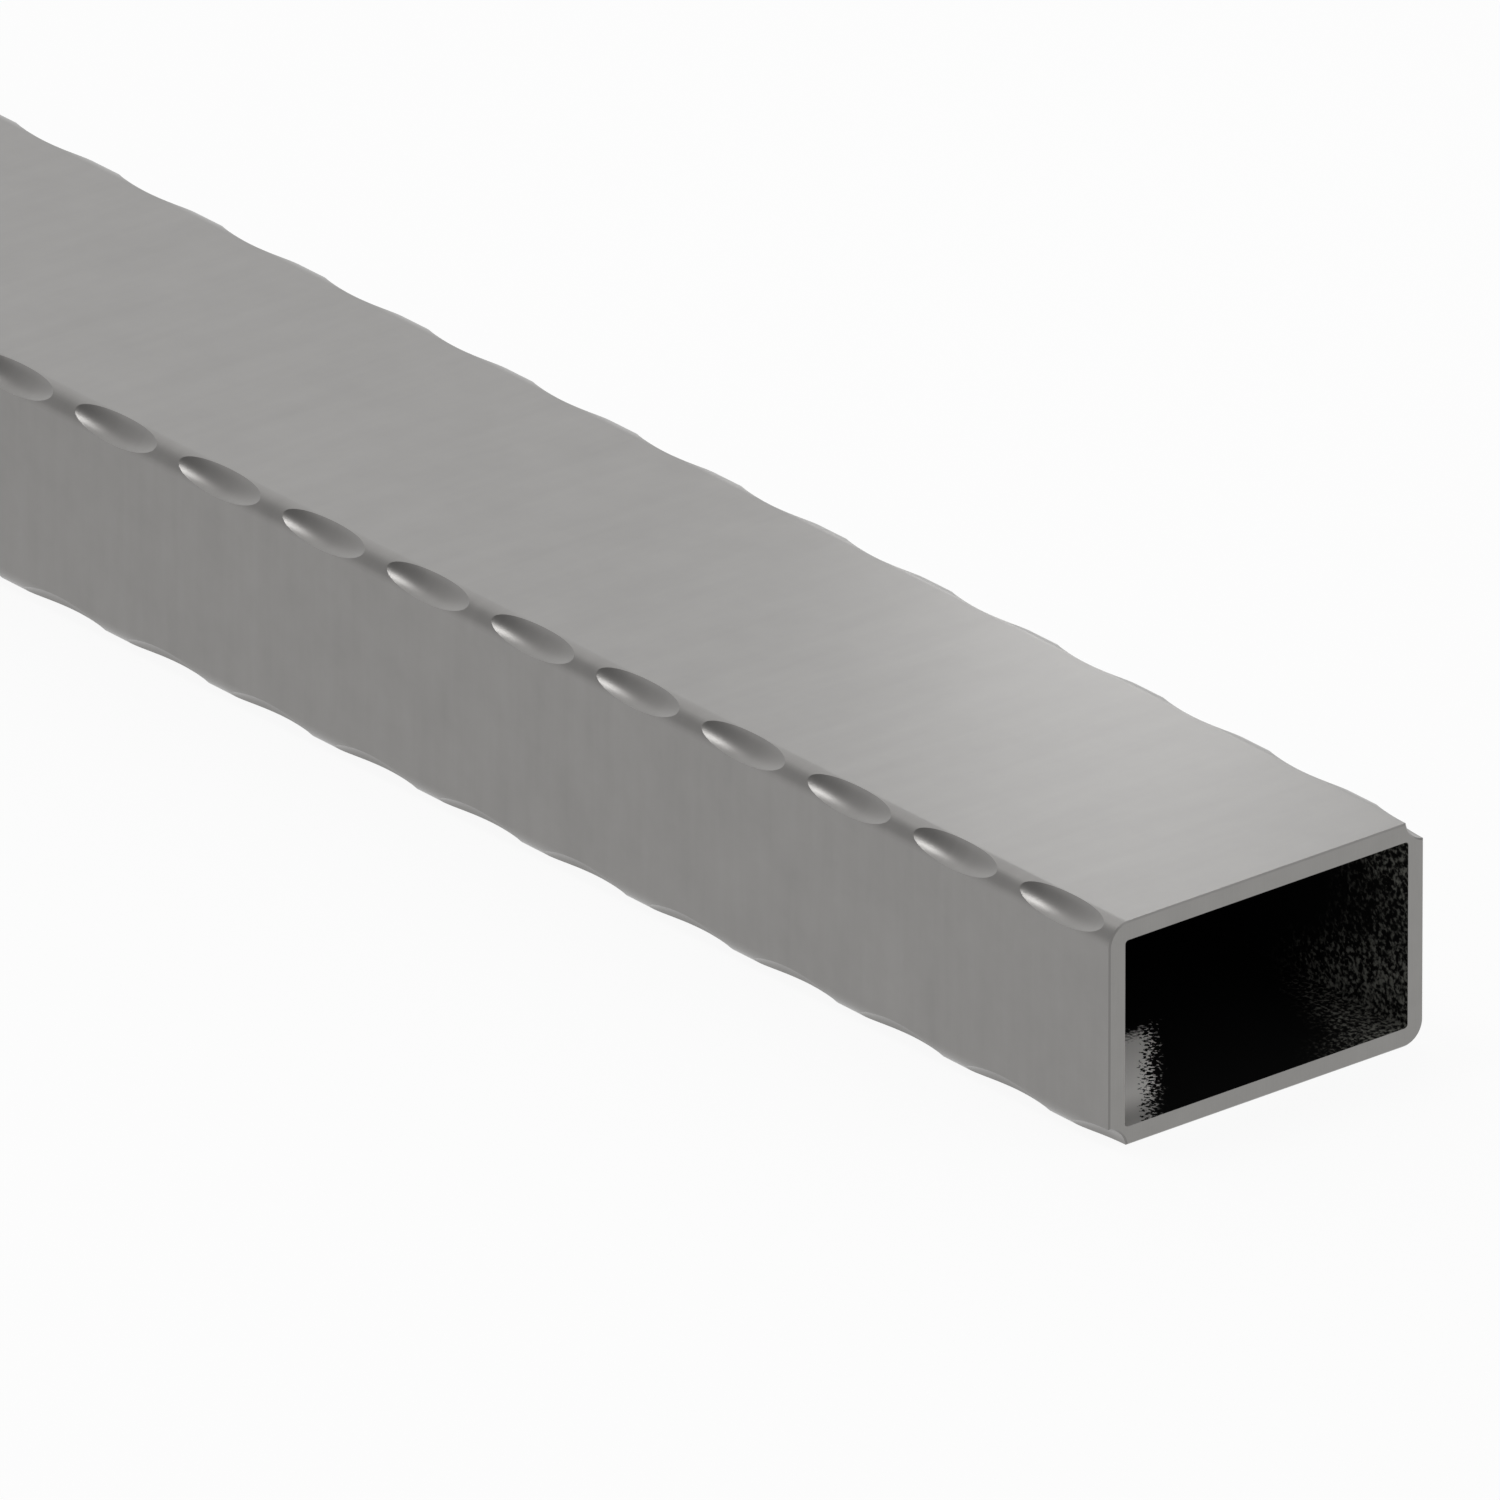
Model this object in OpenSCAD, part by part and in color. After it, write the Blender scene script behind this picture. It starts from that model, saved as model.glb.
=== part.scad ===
/* [Section] */
// Length of the piece of stock, cut square at both ends
tube_length = 1000; // [200:10:2000]
// Width across the wide faces, which lie flat
tube_width = 50; // [35:1:100]
// Height across the narrow faces
tube_height = 30; // [22:1:80]
// Thickness of the wall
wall = 2.5; // [2:0.1:5]
// Radius of the four outside corners
outer_corner = 3; // [1.5:0.1:3.5]
// Radius of the four inside corners
inner_corner = 0.5; // [0.3:0.1:2]

/* [Hammer marks] */
// Distance from one mark to the next along an edge
mark_pitch = 20.2; // [18:0.1:60]
// Depth of a mark along the diagonal, from the line where the two faces would meet
mark_depth = 2.6; // [1.8:0.1:3]
// Radius of the roll that presses the marks, which sets how long they are
roll_radius = 23; // [16:1:30]
// Radius of the roll's rounded rim, which hollows the marks across the edge
rim_radius = 3.5; // [3:0.5:12]

/* [Cut ends] */
// Width of the bevel on the outer edge of each cut end
end_bevel = 0.2; // [0.1:0.1:1]

/* [Hidden] */
$fn = 72;

// Clearance by which a cutting shape runs out of the metal
overrun = 1;
// Steps of a full turn of the roll
roll_steps = 180;
// Steps of the full circle that rounds the roll's rim
rim_steps = 90;
// How far the round corner lies below the sharp one, along the diagonal
corner_drop = outer_corner * (sqrt(2) - 1);
// Height above the round corner at which the roll's arc ends in the air
air_gap = corner_drop / 4;
// Angle of the roll's arc to each side
roll_swing = acos(1 - (mark_depth - corner_drop + air_gap) / roll_radius);
// Reach of the roll's arc along the edge, to each side of a mark's middle
mark_reach = roll_radius * sin(roll_swing);
// The two diagonal pairs of edges are marked half a pitch out of step
stagger = mark_pitch / 2;
// Each edge as its side in Y, its side in Z and the distance from the cut to its first mark
EDGES = [[-1, 1, stagger], [1, 1, 0], [1, -1, stagger], [-1, -1, 0]];

// A rectangle about the origin with true arcs for corners
module rounded_rectangle(width, height, radius) {
    square([width - 2 * radius, height], center = true);
    square([width, height - 2 * radius], center = true);
    for (y = [-1, 1], z = [-1, 1])
        translate([y * (width / 2 - radius), z * (height / 2 - radius)])
            circle(r = radius);
}

// A bar along X with the given section, standing on the floor level
module bar_along_x(length) {
    translate([-length / 2, 0, tube_height / 2])
        rotate([90, 0, 90])
            linear_extrude(height = length)
                children();
}

// The part of the roll's rim that bites, with the middle of its arc pointing down
module roll_bite() {
    translate([0, 0, roll_radius - mark_depth])
        rotate([90, 0, 0])
            rotate_extrude(start = 270 - roll_swing, angle = 2 * roll_swing, $fn = roll_steps)
                intersection() {
                    translate([roll_radius - rim_radius, 0])
                        circle(r = rim_radius, $fn = rim_steps);
                    translate([roll_radius - mark_depth, -rim_radius])
                        square([mark_depth + overrun, 2 * rim_radius]);
                }
}

// The row of marks along one edge, counted from the cut end at +X
module edge_marks(side_y, side_z, first) {
    last_place = tube_length + mark_reach;
    diagonal_turn = -side_y * (90 - side_z * 45);
    for (place = [first : mark_pitch : last_place])
        translate([tube_length / 2 - place, side_y * tube_width / 2, (1 + side_z) * tube_height / 2])
            rotate([diagonal_turn, 0, 0])
                roll_bite();
}

// Section of what a bevel takes off: outward from the face, then along the bar past the cut
module bevel_section() {
    slope_end = end_bevel + overrun;
    polygon([[-end_bevel, 0], [-end_bevel, overrun], [overrun, overrun], [overrun, -slope_end]]);
}

// What is taken off the outer edge of the cut end at +X
module bevel_cutter() {
    flat_width = tube_width - 2 * outer_corner;
    flat_height = tube_height - 2 * outer_corner;
    translate([tube_length / 2, 0, tube_height / 2]) {
        for (side = [0, 180])
            rotate([side, 0, 0]) {
                translate([0, 0, tube_height / 2])
                    rotate([-90, -90, 0])
                        linear_extrude(height = flat_width, center = true)
                            bevel_section();
                translate([0, tube_width / 2, 0])
                    rotate([180, 0, 90])
                        linear_extrude(height = flat_height, center = true)
                            bevel_section();
            }
        for (y = [0, 1], z = [0, 1])
            mirror([0, y, 0])
                mirror([0, 0, z])
                    translate([0, flat_width / 2, flat_height / 2])
                        rotate([90, 0, 90])
                            rotate_extrude(angle = 90)
                                translate([outer_corner, 0])
                                    bevel_section();
    }
}

// One length of rolled and welded steel tube, hammered along its four edges
module tube() {
    color([0.62, 0.62, 0.61])
        difference() {
            bar_along_x(tube_length)
                rounded_rectangle(tube_width, tube_height, outer_corner);
            bar_along_x(tube_length + 2 * overrun)
                rounded_rectangle(tube_width - 2 * wall, tube_height - 2 * wall, inner_corner);
            for (edge = EDGES)
                edge_marks(edge[0], edge[1], edge[2]);
            for (end = [0, 1])
                mirror([end, 0, 0])
                    bevel_cutter();
        }
}

tube();
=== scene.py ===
import math

import bpy
from mathutils import Matrix, Vector


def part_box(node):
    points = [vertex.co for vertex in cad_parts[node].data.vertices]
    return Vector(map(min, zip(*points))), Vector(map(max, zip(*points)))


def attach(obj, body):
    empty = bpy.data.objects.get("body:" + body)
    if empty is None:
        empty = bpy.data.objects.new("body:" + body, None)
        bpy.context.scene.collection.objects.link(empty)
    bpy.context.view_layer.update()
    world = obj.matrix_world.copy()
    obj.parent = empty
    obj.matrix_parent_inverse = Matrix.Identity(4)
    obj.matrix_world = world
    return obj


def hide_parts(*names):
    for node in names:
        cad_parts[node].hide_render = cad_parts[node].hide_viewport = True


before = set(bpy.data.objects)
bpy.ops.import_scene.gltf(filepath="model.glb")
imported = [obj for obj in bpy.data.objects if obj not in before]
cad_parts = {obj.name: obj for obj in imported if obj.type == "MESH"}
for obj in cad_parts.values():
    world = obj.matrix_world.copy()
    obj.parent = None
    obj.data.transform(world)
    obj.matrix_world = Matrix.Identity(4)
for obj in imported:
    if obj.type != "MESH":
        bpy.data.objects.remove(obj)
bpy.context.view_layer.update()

# Sizes of the tube, in metres
MM = 0.001
TUBE_LOW, TUBE_HIGH = (Vector(corner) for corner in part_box("tube"))
LENGTH = TUBE_HIGH.x - TUBE_LOW.x
WIDTH = TUBE_HIGH.y - TUBE_LOW.y
HEIGHT = TUBE_HIGH.z - TUBE_LOW.z
WALL = 2.5 * MM
OUTER_CORNER = 3 * MM
INNER_CORNER = 0.5 * MM
END_BEVEL = 0.2 * MM

# The roll that presses the hammer marks, and how the marks follow each other
MARK_PITCH = 20.2 * MM
MARK_DEPTH = 2.6 * MM
ROLL_RADIUS = 23 * MM
RIM_RADIUS = 3.5 * MM
CORNER_DROP = OUTER_CORNER * (math.sqrt(2) - 1)

# Steps of the full turns of the roll and of its rim, and of each round corner
ROLL_STEPS = 210
RIM_STEPS = 72
CORNER_STEPS = 16
INNER_STEPS = 5

# Points nearer to each other than this are one point, and a crease sharper than this stays crisp
MERGE = 0.002 * MM
CREASE = math.radians(12)

# How strongly large faces set the shading along their edges, where 50 is neutral
LARGE_FACE_WEIGHT = 80

# Where the photograph was taken from: bearing round the tube, height over the horizon and framing
CAMERA_BEARING = math.radians(50.3)
CAMERA_RISE = math.radians(24.8)
PHOTO_WIDTH = 182.1 * MM
PHOTO_CENTRE = Vector((TUBE_HIGH.x - 34.5 * MM, TUBE_LOW.y - 28.1 * MM, TUBE_HIGH.z + 19.83 * MM))
LENS_TO_SENSOR = 46.5
SENSOR = 36.0

# Colours of the bare metal and its cut faces; of the bore's scale, painted near-black as shade; and
# of the pale flecks and floor strip painted in the bore as light that falls in
STEEL = (0.234, 0.228, 0.221)
SAWN = (0.276, 0.271, 0.262)
SCALE_AND_SHADE_BLACK = (0.003, 0.003, 0.003)
LIGHT_FLECK = (0.185, 0.185, 0.165)
PAINTED_FLOOR_LIGHT = (0.94, 0.92, 0.89)

# How dark the shade painted on the bevel at the sides of a cut is, and how strong and rough the film
# of oil is
PAINTED_ARRIS_SHADE = 0.82
OIL_FILM = 0.5
OIL_ROUGHNESS = 0.3

# Height of the brushed and sawn lines
LINE_HEIGHT = 0.02 * MM

# Sizes of the grain and of the patches in the bore
GRAIN_SIZE = 0.62 * MM
PATCH_SIZE = 6 * MM

# How far a line of sight through the opening runs across the bore for each metre of its depth
SIGHT_SLOPE = 0.83

# Strength of the surround: even, less towards the back, more towards both ends, a step up behind
SKY_EVEN = 0.034
SKY_FALL = 0.128
SKY_ENDS = 0.82
SKY_BACK = 0.59
SKY_BACK_RISE = (-0.343, 0.354)

# The glow straight behind the tube, which keeps the backdrop pale from a low front view
GLOW_STRENGTH = 0.46
GLOW_RISE = (0.9, 0.99)

# Share of the floor that camera, glossy and transmission rays see as plain white
FLOOR_SIZE = 24
FLOOR_GREY = (0.8, 0.8, 0.8, 1)
FLOOR_WHITENED = 0.92

# The square lamps: what each points at, where it stands, how wide it is and its power
OVERHEAD_AIM = Vector((TUBE_HIGH.x - 60 * MM, 0, TUBE_HIGH.z))
OVERHEAD_PLACE = OVERHEAD_AIM + Vector((-0.377, -0.263, 1.2))
OVERHEAD_SIZE = 0.4
OVERHEAD_POWER = 3.6
REAR_AIM = Vector((TUBE_HIGH.x - 79 * MM, TUBE_HIGH.y + 24 * MM, TUBE_HIGH.z))
REAR_PLACE = REAR_AIM + Vector((-0.6965, 0.5817, 0.4205)) * 0.25
REAR_SIZE = 0.05
REAR_POWER = 0.0183


class Socket:
    """A shader socket that Python expressions can add Math nodes to."""

    def __init__(self, tree, socket):
        self.tree = tree
        self.socket = socket

    def math(self, operation, *values):
        return node(self.tree, "ShaderNodeMath", {"operation": operation}, *values)[0]

    def __abs__(self):
        return self.math("ABSOLUTE", self)

    def __add__(self, other):
        return self.math("ADD", self, other)

    def __radd__(self, other):
        return self.math("ADD", other, self)

    def __sub__(self, other):
        return self.math("SUBTRACT", self, other)

    def __rsub__(self, other):
        return self.math("SUBTRACT", other, self)

    def __mul__(self, other):
        return self.math("MULTIPLY", self, other)

    def __rmul__(self, other):
        return self.math("MULTIPLY", other, self)


def node(tree, kind, settings, *values, **named):
    """Adds a node with its settings and its inputs, in order or by name, and returns its outputs."""
    made = tree.nodes.new(kind)
    for key, value in settings.items():
        setattr(made, key, value)
    inputs = list(enumerate(values))
    inputs += [(key.replace("_", " "), value) for key, value in named.items()]
    for key, value in inputs:
        if isinstance(value, Socket):
            tree.links.new(value.socket, made.inputs[key])
        elif value is not None:
            made.inputs[key].default_value = value
    return [Socket(tree, output) for output in made.outputs]


def output_named(outputs, name):
    """The one of a node's outputs that has the given name."""
    return next(output for output in outputs if output.socket.name == name)


def new_material(name):
    """An empty node material, its tree and its surface input."""
    material = bpy.data.materials.new(name)
    material.use_nodes = True
    tree = material.node_tree
    tree.nodes.clear()
    output = tree.nodes.new("ShaderNodeOutputMaterial")
    return material, tree, output.inputs["Surface"]


def metres(tree):
    """Object coordinates of the tube as three sockets, in metres, and as a vector."""
    place = output_named(node(tree, "ShaderNodeTexCoord", {}), "Object")
    return (*node(tree, "ShaderNodeSeparateXYZ", {}, place), place)


def noise(tree, place, size, detail=2.0, roughness=0.5, stretch=(1, 1, 1)):
    """Noise from 0 to 1 with features of the given size in metres, stretched along the axes."""
    scale = tuple(1 / (size * s) for s in stretch)
    spot = node(tree, "ShaderNodeVectorMath", {"operation": "MULTIPLY"}, place, scale)[0]
    shape = {"Vector": spot, "Scale": 1.0, "Detail": detail, "Roughness": roughness}
    return node(tree, "ShaderNodeTexNoise", {}, **shape)[0]


def span(tree, value, start, end):
    """Where a value lies between a start and an end, from 0 to 1 and clamped."""
    settings = {"interpolation_type": "SMOOTHSTEP"}
    low, high = min(start, end), max(start, end)
    rise = node(tree, "ShaderNodeMapRange", settings, value, low, high, 0.0, 1.0)[0]
    return rise if start < end else 1 - rise


def blend(tree, factor, first, second):
    """A colour between two, by a factor; each is a plain colour or a socket.

    The five inputs between the factor and the colours are for other kinds of data.
    """
    settings = {"data_type": "RGBA", "clamp_factor": True}
    colours = [c if isinstance(c, Socket) else (*c, 1) for c in (first, second)]
    unused = [None] * 5
    return node(tree, "ShaderNodeMix", settings, factor, *unused, *colours)[2]


def tinted(colour, strength):
    """A colour made lighter or darker."""
    return tuple(c * strength for c in colour)


def mottled(tree, tone, colour, contrast):
    """A colour that a tone from 0 to 1 makes darker or lighter, by the contrast to each side."""
    return blend(tree, tone, tinted(colour, 1 - contrast), tinted(colour, 1 + contrast))


def principled(tree, surface, **inputs):
    """Ends a material in a Principled shader with the given inputs."""
    shader = node(tree, "ShaderNodeBsdfPrincipled", {}, **inputs)[0]
    tree.links.new(shader.socket, surface)


def bare_steel():
    """Rolled steel under a film of oil, brushed across the tube, with faint cloudy patches, and with
    shade painted on the bevels at the sides of the cuts.
    """
    material, tree, surface = new_material("bare_steel")
    x, _, z, place = metres(tree)
    lines = noise(tree, place, 0.16 * MM, 3.0, 0.6, (1, 60, 60))
    bands = noise(tree, place, 2.5 * MM, 3.0, 0.5, (1, 9, 9))
    clouds = noise(tree, place, 7 * MM, 3.0, 0.6)
    tone = lines * 0.15 + bands * 0.33 + clouds * 0.52
    nearest_cut = x.math("MINIMUM", TUBE_HIGH.x - x, x - TUBE_LOW.x)
    # Where shade is painted: the bevel at each cut, below the top corner
    on_bevel = span(tree, nearest_cut, END_BEVEL * 1.1, END_BEVEL * 0.9)
    under_top = span(tree, TUBE_HIGH.z - z, OUTER_CORNER * 0.4, OUTER_CORNER)
    plain = mottled(tree, tone, STEEL, 0.2)
    height = lines * 0.6 + bands * 0.4
    bump = node(tree, "ShaderNodeBump", {}, Strength=0.05, Distance=LINE_HEIGHT, Height=height)[0]
    principled(
        tree,
        surface,
        # Painted shade: the bevel at the sides of each cut is tinted darker
        Base_Color=blend(tree, on_bevel * under_top, plain, tinted(STEEL, PAINTED_ARRIS_SHADE)),
        Metallic=1.0,
        Roughness=0.32 + lines * 0.06 + clouds * 0.05,
        Normal=bump,
        Coat_Weight=OIL_FILM,
        Coat_Roughness=OIL_ROUGHNESS,
    )
    return material


def sawn_steel():
    """The cut face: fine saw lines that run down across it."""
    material, tree, surface = new_material("sawn_steel")
    *_, place = metres(tree)
    lines = noise(tree, place, 0.12 * MM, 2.0, 0.6, (40, 1, 50))
    clouds = noise(tree, place, 4 * MM, 2.0)
    tone = lines * 0.6 + clouds * 0.4
    bump = node(tree, "ShaderNodeBump", {}, Strength=0.12, Distance=LINE_HEIGHT, Height=lines)[0]
    principled(
        tree,
        surface,
        Base_Color=mottled(tree, tone, SAWN, 0.12),
        Metallic=1.0,
        Roughness=0.42 + lines * 0.08,
        Normal=bump,
    )
    return material


def painted_light_flecks(tree, grain, patches, nearest_cut, across, above):
    """Where pale flecks are painted in the bore as light that falls on it: on the side that faces
    the opening, fewest halfway up.
    """
    seam_rise = 6 * MM
    halfway_up = 14 * MM
    along_floor = span(tree, above, 9 * MM, 1 * MM)
    far_side = span(tree, across, 34 * MM, 43 * MM)
    in_sight = across - nearest_cut * SIGHT_SLOPE + along_floor * far_side * seam_rise
    open_side = span(tree, in_sight, 24 * MM, 46 * MM)
    off_middle = span(tree, abs(above - halfway_up), 1.5 * MM, 9 * MM)
    reach = open_side * (off_middle * 0.5 + 0.5) + (patches - 0.5) * 0.45
    return span(tree, grain + reach * 0.12, 0.52, 0.78) * span(tree, reach, 0.04, 0.8)


def floor_light_strip(tree, grain, patches, depth, across, above):
    """Where a pale strip is painted on the bore's floor as light that falls in through the opening:
    a strip in sight just past the near wall.
    """
    widening = span(tree, depth, 24 * MM, 13 * MM)
    width = widening * 1.2 * MM + 2.6 * MM
    from_sight = across - depth * SIGHT_SLOPE + (patches - 0.5) * 1.5 * MM
    fringe = (grain - 0.5) * 19 * MM * span(tree, from_sight, 0.5 * MM, 4 * MM)
    strip = span(tree, from_sight + fringe - width, 0.4 * MM, -0.4 * MM)
    strip = strip * span(tree, from_sight, -3 * MM, -1 * MM)
    strip = strip * span(tree, from_sight, 7 * MM, 4 * MM)
    on_floor = span(tree, above, 0.6 * MM, 0.3 * MM)
    inner_end = span(tree, depth + (grain - 0.5) * 6 * MM, 21.2 * MM, 18.2 * MM)
    # The painted light is dimmer near the cut
    dimmer_near_cut = 0.4 + 0.6 * span(tree, depth, 1 * MM, 8 * MM)
    return strip * on_floor * inner_end * dimmer_near_cut


def bore_scale_shade_and_light():
    """The bore: mill scale painted near-black as the bore's shade, with pale flecks near the cuts
    and a pale strip on its floor, both painted as light that falls in through the opening.
    """
    material, tree, surface = new_material("bore_scale_shade_and_light")
    x, y, z, place = metres(tree)
    depth = TUBE_HIGH.x - x
    nearest_cut = depth.math("MINIMUM", depth, x - TUBE_LOW.x)
    across = y - (TUBE_LOW.y + WALL)
    above = z - (TUBE_LOW.z + WALL)
    grain = noise(tree, place, GRAIN_SIZE, 2.0, 0.6)
    patches = noise(tree, place, PATCH_SIZE)
    # Pale flecks painted as light that falls into the bore
    light_flecks = painted_light_flecks(tree, grain, patches, nearest_cut, across, above)
    lit_strip = floor_light_strip(tree, grain, patches, depth, across, above)
    # The scale is near-black, as painted shade over the whole bore
    light_flecked = blend(tree, light_flecks, SCALE_AND_SHADE_BLACK, LIGHT_FLECK)
    principled(
        tree,
        surface,
        # A near-white strip of painted light on the bore's floor
        Base_Color=blend(tree, lit_strip, light_flecked, PAINTED_FLOOR_LIGHT),
        Metallic=0.0,
        Roughness=0.8,
        Specular_IOR_Level=0.06,
    )
    return material


def deselect():
    for thing in bpy.context.selected_objects:
        thing.select_set(False)


def work_on(piece):
    """Makes a piece the only selected and active one."""
    deselect()
    piece.select_set(True)
    bpy.context.view_layer.objects.active = piece


def pick(piece, kind, test):
    """In edit mode, selects only the vertices, edges or faces that pass a test.

    The test is given a vertex's place and normal, an edge's middle and run, or a face's middle
    and normal.
    """
    bpy.ops.mesh.select_mode(type=kind)
    bpy.ops.mesh.select_all(action="DESELECT")
    bpy.ops.object.mode_set(mode="OBJECT")
    mesh = piece.data
    points = mesh.vertices
    if kind == "VERT":
        for point in points:
            point.select = test(point.co, point.normal)
    elif kind == "EDGE":
        for edge in mesh.edges:
            a, b = (points[i].co for i in edge.vertices)
            edge.select = test((a + b) / 2, b - a)
    else:
        for face in mesh.polygons:
            face.select = test(face.center, face.normal)
    bpy.ops.object.mode_set(mode="EDIT")


def add_box(name, low, high):
    """A box between two corners, with its place in its mesh."""
    bpy.ops.mesh.primitive_cube_add(size=1, location=(Vector(low) + Vector(high)) / 2)
    box = bpy.context.object
    box.name = box.data.name = name
    box.scale = Vector(high) - Vector(low)
    bpy.ops.object.transform_apply(location=True, rotation=True, scale=True)
    return box


def round_long_edges(box, radius, steps):
    """Rounds the four edges that run along the tube."""
    work_on(box)
    bpy.ops.object.mode_set(mode="EDIT")
    pick(box, "EDGE", lambda middle, run: abs(run.x) > abs(run.y) + abs(run.z))
    bpy.ops.mesh.bevel(
        offset=radius, offset_type="OFFSET", segments=steps, profile=0.5, affect="EDGES"
    )
    bpy.ops.object.mode_set(mode="OBJECT")


def open_ends(box):
    """Takes off the two faces that close a box along the tube."""
    work_on(box)
    bpy.ops.object.mode_set(mode="EDIT")
    pick(box, "FACE", lambda middle, normal: abs(normal.x) > 0.9)
    bpy.ops.mesh.delete(type="FACE")
    bpy.ops.object.mode_set(mode="OBJECT")


def roll(place, side_y, side_z):
    """The part of the hammer roll that bites into one edge of the tube, at a place along it."""
    bpy.ops.mesh.primitive_torus_add(
        major_segments=ROLL_STEPS,
        minor_segments=RIM_STEPS,
        major_radius=ROLL_RADIUS - RIM_RADIUS,
        minor_radius=RIM_RADIUS,
    )
    wheel = bpy.context.object
    wheel.name = "roll"
    along = Vector((1, 0, 0))
    outward = Vector((0, side_y, side_z)).normalized()
    axle = along.cross(outward)
    corner = Vector((place, side_y * WIDTH / 2, TUBE_LOW.z + (1 + side_z) * HEIGHT / 2))
    centre = corner + outward * (ROLL_RADIUS - MARK_DEPTH)
    half_step = Matrix.Rotation(math.pi / ROLL_STEPS, 3, "Z")
    turn = Matrix((along, outward, axle)).transposed() @ half_step
    wheel.matrix_world = Matrix.Translation(centre) @ turn.to_4x4()
    bpy.ops.object.transform_apply(location=True, rotation=True, scale=True)
    bpy.ops.object.mode_set(mode="EDIT")
    bpy.ops.mesh.select_all(action="SELECT")
    bpy.ops.mesh.bisect(
        plane_co=corner - outward * CORNER_DROP / 2,
        plane_no=outward,
        clear_outer=True,
        use_fill=True,
    )
    bpy.ops.object.mode_set(mode="OBJECT")
    return wheel


def cut_with(piece, tools):
    """Takes the tools' shapes out of a piece and deletes them."""
    work_on(tools[0])
    for tool in tools[1:]:
        tool.select_set(True)
    bpy.ops.object.join()
    cutter = bpy.context.object
    work_on(piece)
    bpy.ops.object.modifier_add(type="BOOLEAN")
    cut = piece.modifiers[-1]
    cut.operation = "DIFFERENCE"
    cut.solver = "EXACT"
    cut.object = cutter
    bpy.ops.object.modifier_apply(modifier=cut.name)
    work_on(cutter)
    bpy.ops.object.delete()


def one_pitch(middle):
    """One pitch of the tube's outside about a place along it, with its marks, open at both ends."""
    low = (middle - MARK_PITCH / 2, TUBE_LOW.y, TUBE_LOW.z)
    high = (middle + MARK_PITCH / 2, TUBE_HIGH.y, TUBE_HIGH.z)
    skin = add_box("tube_steel", low, high)
    round_long_edges(skin, OUTER_CORNER, CORNER_STEPS)
    rolls = [roll(middle, 1, 1), roll(middle, -1, -1)]
    for side_y, side_z in ((-1, 1), (1, -1)):
        for side_x in (-1, 1):
            rolls.append(roll(middle + side_x * MARK_PITCH / 2, side_y, side_z))
    cut_with(skin, rolls)
    open_ends(skin)
    return skin


def repeat_along_tube(skin):
    """Repeats one pitch from the cut in the photograph to past the far end."""
    bpy.ops.object.modifier_add(type="ARRAY")
    row = skin.modifiers[-1]
    row.count = math.ceil(LENGTH / MARK_PITCH) + 1
    row.use_relative_offset = False
    row.use_constant_offset = True
    row.constant_offset_displace = (-MARK_PITCH, 0, 0)
    row.use_merge_vertices = True
    row.merge_threshold = MERGE
    bpy.ops.object.modifier_apply(modifier=row.name)


def trim_end(skin, cut, side):
    """In edit mode, cuts the skin off square at a place along it and bevels its edge there."""
    run = {"plane_no": (side, 0, 0), "threshold": MERGE / 10}
    bpy.ops.mesh.select_all(action="SELECT")
    bpy.ops.mesh.bisect(plane_co=(cut, 0, 0), clear_outer=True, **run)
    bpy.ops.mesh.select_all(action="SELECT")
    bpy.ops.mesh.bisect(plane_co=(cut - side * END_BEVEL, 0, 0), **run)
    pick(skin, "VERT", lambda place, normal: abs(place.x - cut) < MERGE)
    bpy.ops.transform.shrink_fatten(value=-END_BEVEL, use_even_offset=True)
    bpy.ops.transform.resize(value=(0, 1, 1), center_override=(cut, 0, 0))


def hammered_skin():
    """The tube's outside: one pitch with its marks, repeated and trimmed at both cuts."""
    skin = one_pitch(TUBE_HIGH.x)
    repeat_along_tube(skin)
    bpy.ops.object.mode_set(mode="EDIT")
    trim_end(skin, TUBE_HIGH.x, 1)
    trim_end(skin, TUBE_LOW.x, -1)
    bpy.ops.object.mode_set(mode="OBJECT")
    return skin


def bore_skin():
    """The tube's inside, facing inwards."""
    low = (TUBE_LOW.x, TUBE_LOW.y + WALL, TUBE_LOW.z + WALL)
    high = (TUBE_HIGH.x, TUBE_HIGH.y - WALL, TUBE_HIGH.z - WALL)
    bore = add_box("bore", low, high)
    round_long_edges(bore, INNER_CORNER, INNER_STEPS)
    open_ends(bore)
    bpy.ops.object.mode_set(mode="EDIT")
    bpy.ops.mesh.select_all(action="SELECT")
    bpy.ops.mesh.flip_normals()
    bpy.ops.object.mode_set(mode="OBJECT")
    return bore


def close_cut_faces(skin):
    """Fills the sawn faces between the outside and the bore, and turns all faces outwards."""
    bpy.ops.object.mode_set(mode="EDIT")
    for cut in (TUBE_HIGH.x, TUBE_LOW.x):
        pick(skin, "EDGE", lambda middle, run: max(abs(middle.x - cut), abs(run.x)) < MERGE)
        bpy.ops.mesh.fill(use_beauty=True)
    bpy.ops.mesh.select_all(action="SELECT")
    bpy.ops.mesh.normals_make_consistent(inside=False)
    bpy.ops.object.mode_set(mode="OBJECT")


def anywhere(middle, normal):
    return True


def on_cut_face(middle, normal):
    return abs(normal.x) > 0.99


def in_bore(middle, normal):
    """Whether a face is one of the bore's walls."""
    from_middle_z = abs(middle.z - (TUBE_LOW.z + TUBE_HIGH.z) / 2)
    in_width = abs(middle.y) < WIDTH / 2 - WALL + MERGE
    in_height = from_middle_z < HEIGHT / 2 - WALL + MERGE
    return abs(normal.x) < 0.5 and in_width and in_height


def dress_faces(piece, finishes):
    """Gives each finish to the faces that pass its test."""
    work_on(piece)
    for material, _ in finishes:
        piece.data.materials.append(material)
    bpy.ops.object.mode_set(mode="EDIT")
    for index, (_, test) in enumerate(finishes):
        pick(piece, "FACE", test)
        piece.active_material_index = index
        bpy.ops.object.material_slot_assign()
    bpy.ops.object.mode_set(mode="OBJECT")


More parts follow.
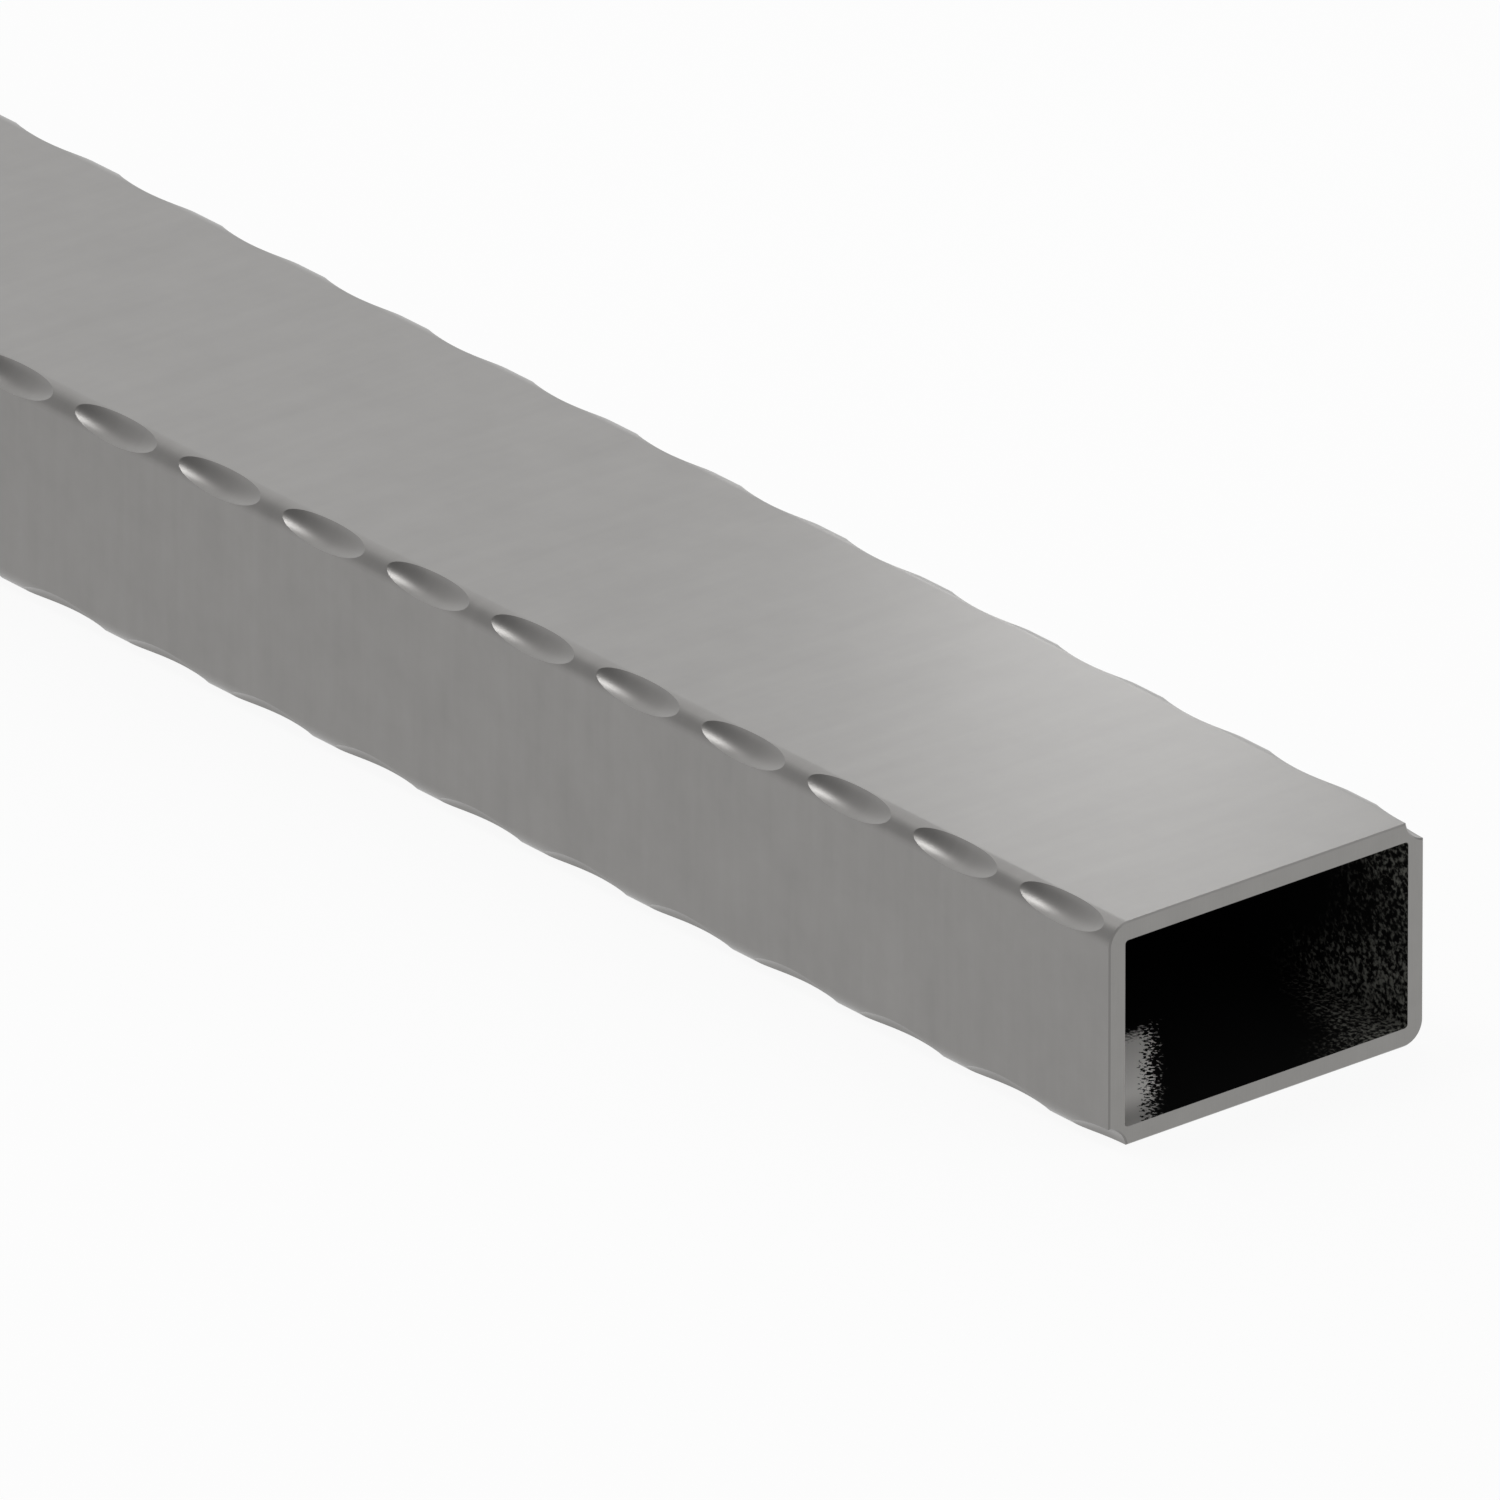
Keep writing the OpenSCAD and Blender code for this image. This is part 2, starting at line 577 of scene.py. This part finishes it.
def smooth_faces(piece):
    """Shades the round faces smooth, keeps the creases and lets the flat faces stay flat."""
    work_on(piece)
    bpy.ops.object.shade_smooth_by_angle(angle=CREASE)
    bpy.ops.object.modifier_add(type="WEIGHTED_NORMAL")
    weigh = piece.modifiers[-1]
    weigh.keep_sharp = True
    weigh.weight = LARGE_FACE_WEIGHT
    bpy.ops.object.modifier_apply(modifier=weigh.name)


def steel_tube():
    """The whole tube: hammered skin, bore and the sawn faces between them."""
    skin = hammered_skin()
    bore = bore_skin()
    work_on(bore)
    skin.select_set(True)
    bpy.context.view_layer.objects.active = skin
    bpy.ops.object.join()
    close_cut_faces(skin)
    finishes = [(bare_steel(), anywhere), (sawn_steel(), on_cut_face), (bore_scale_shade_and_light(), in_bore)]
    dress_faces(skin, finishes)
    smooth_faces(skin)
    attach(skin, "root")
    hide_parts("tube")


def pale_floor():
    """A wide pale floor that looks white to the camera and keeps the tube's shadow."""
    bpy.ops.mesh.primitive_plane_add(size=FLOOR_SIZE, location=(0, 0, TUBE_LOW.z))
    floor = bpy.context.object
    floor.name = "floor"
    material, tree, surface = new_material("pale_floor")
    paths = node(tree, "ShaderNodeLightPath", {})
    seen = output_named(paths, "Is Camera Ray") + output_named(paths, "Is Glossy Ray")
    seen = seen + output_named(paths, "Is Transmission Ray")
    plain = node(tree, "ShaderNodeBsdfDiffuse", {}, FLOOR_GREY)[0]
    glow = node(tree, "ShaderNodeEmission", {}, (1, 1, 1, 1), 1.0)[0]
    whitened = node(tree, "ShaderNodeMixShader", {}, seen * FLOOR_WHITENED, plain, glow)[0]
    tree.links.new(whitened.socket, surface)
    floor.data.materials.append(material)


def area_light(name, place, aim, size, power):
    """A square lamp that points at a place and that the camera doesn't see."""
    bpy.ops.object.light_add(type="AREA", location=place)
    lamp = bpy.context.object
    lamp.name = name
    lamp.data.size = size
    lamp.data.energy = power
    lamp.rotation_euler = (aim - place).to_track_quat("-Z", "Y").to_euler()
    lamp.visible_camera = False


def studio_surround():
    """A soft surround that is dim in front, and bright behind and towards the tube's ends."""
    world = bpy.data.worlds.new("studio")
    world.use_nodes = True
    tree = world.node_tree
    tree.nodes.clear()
    output = tree.nodes.new("ShaderNodeOutputWorld")
    way = output_named(node(tree, "ShaderNodeTexCoord", {}), "Generated")
    x, y, _ = node(tree, "ShaderNodeSeparateXYZ", {}, way)
    strength = SKY_EVEN - y * SKY_FALL + abs(x) * SKY_ENDS
    strength = strength + span(tree, y, *SKY_BACK_RISE) * SKY_BACK
    strength = strength + span(tree, y, *GLOW_RISE) * GLOW_STRENGTH
    sky = node(tree, "ShaderNodeBackground", {}, (1, 1, 1, 1), strength)[0]
    tree.links.new(sky.socket, output.inputs["Surface"])
    bpy.context.scene.world = world


def studio_light():
    """The surround, a broad soft lamp overhead and a small one low behind."""
    studio_surround()
    area_light("overhead", OVERHEAD_PLACE, OVERHEAD_AIM, OVERHEAD_SIZE, OVERHEAD_POWER)
    area_light("behind", REAR_PLACE, REAR_AIM, REAR_SIZE, REAR_POWER)


def camera_of_the_photo():
    """A long lens at the photograph's bearing and rise, framed as the photograph."""
    back = Vector((
        math.sin(CAMERA_BEARING) * math.cos(CAMERA_RISE),
        -math.cos(CAMERA_BEARING) * math.cos(CAMERA_RISE),
        math.sin(CAMERA_RISE),
    ))
    distance = PHOTO_WIDTH * LENS_TO_SENSOR
    bpy.ops.object.camera_add(location=PHOTO_CENTRE + back * distance)
    camera = bpy.context.object
    camera.rotation_euler = (-back).to_track_quat("-Z", "Y").to_euler()
    camera.data.sensor_width = SENSOR
    camera.data.lens = SENSOR * LENS_TO_SENSOR
    camera.data.clip_end = distance * 4
    bpy.context.scene.camera = camera


def main():
    deselect()
    camera_of_the_photo()
    steel_tube()
    pale_floor()
    studio_light()
    bpy.context.scene.view_settings.view_transform = "Standard"


main()
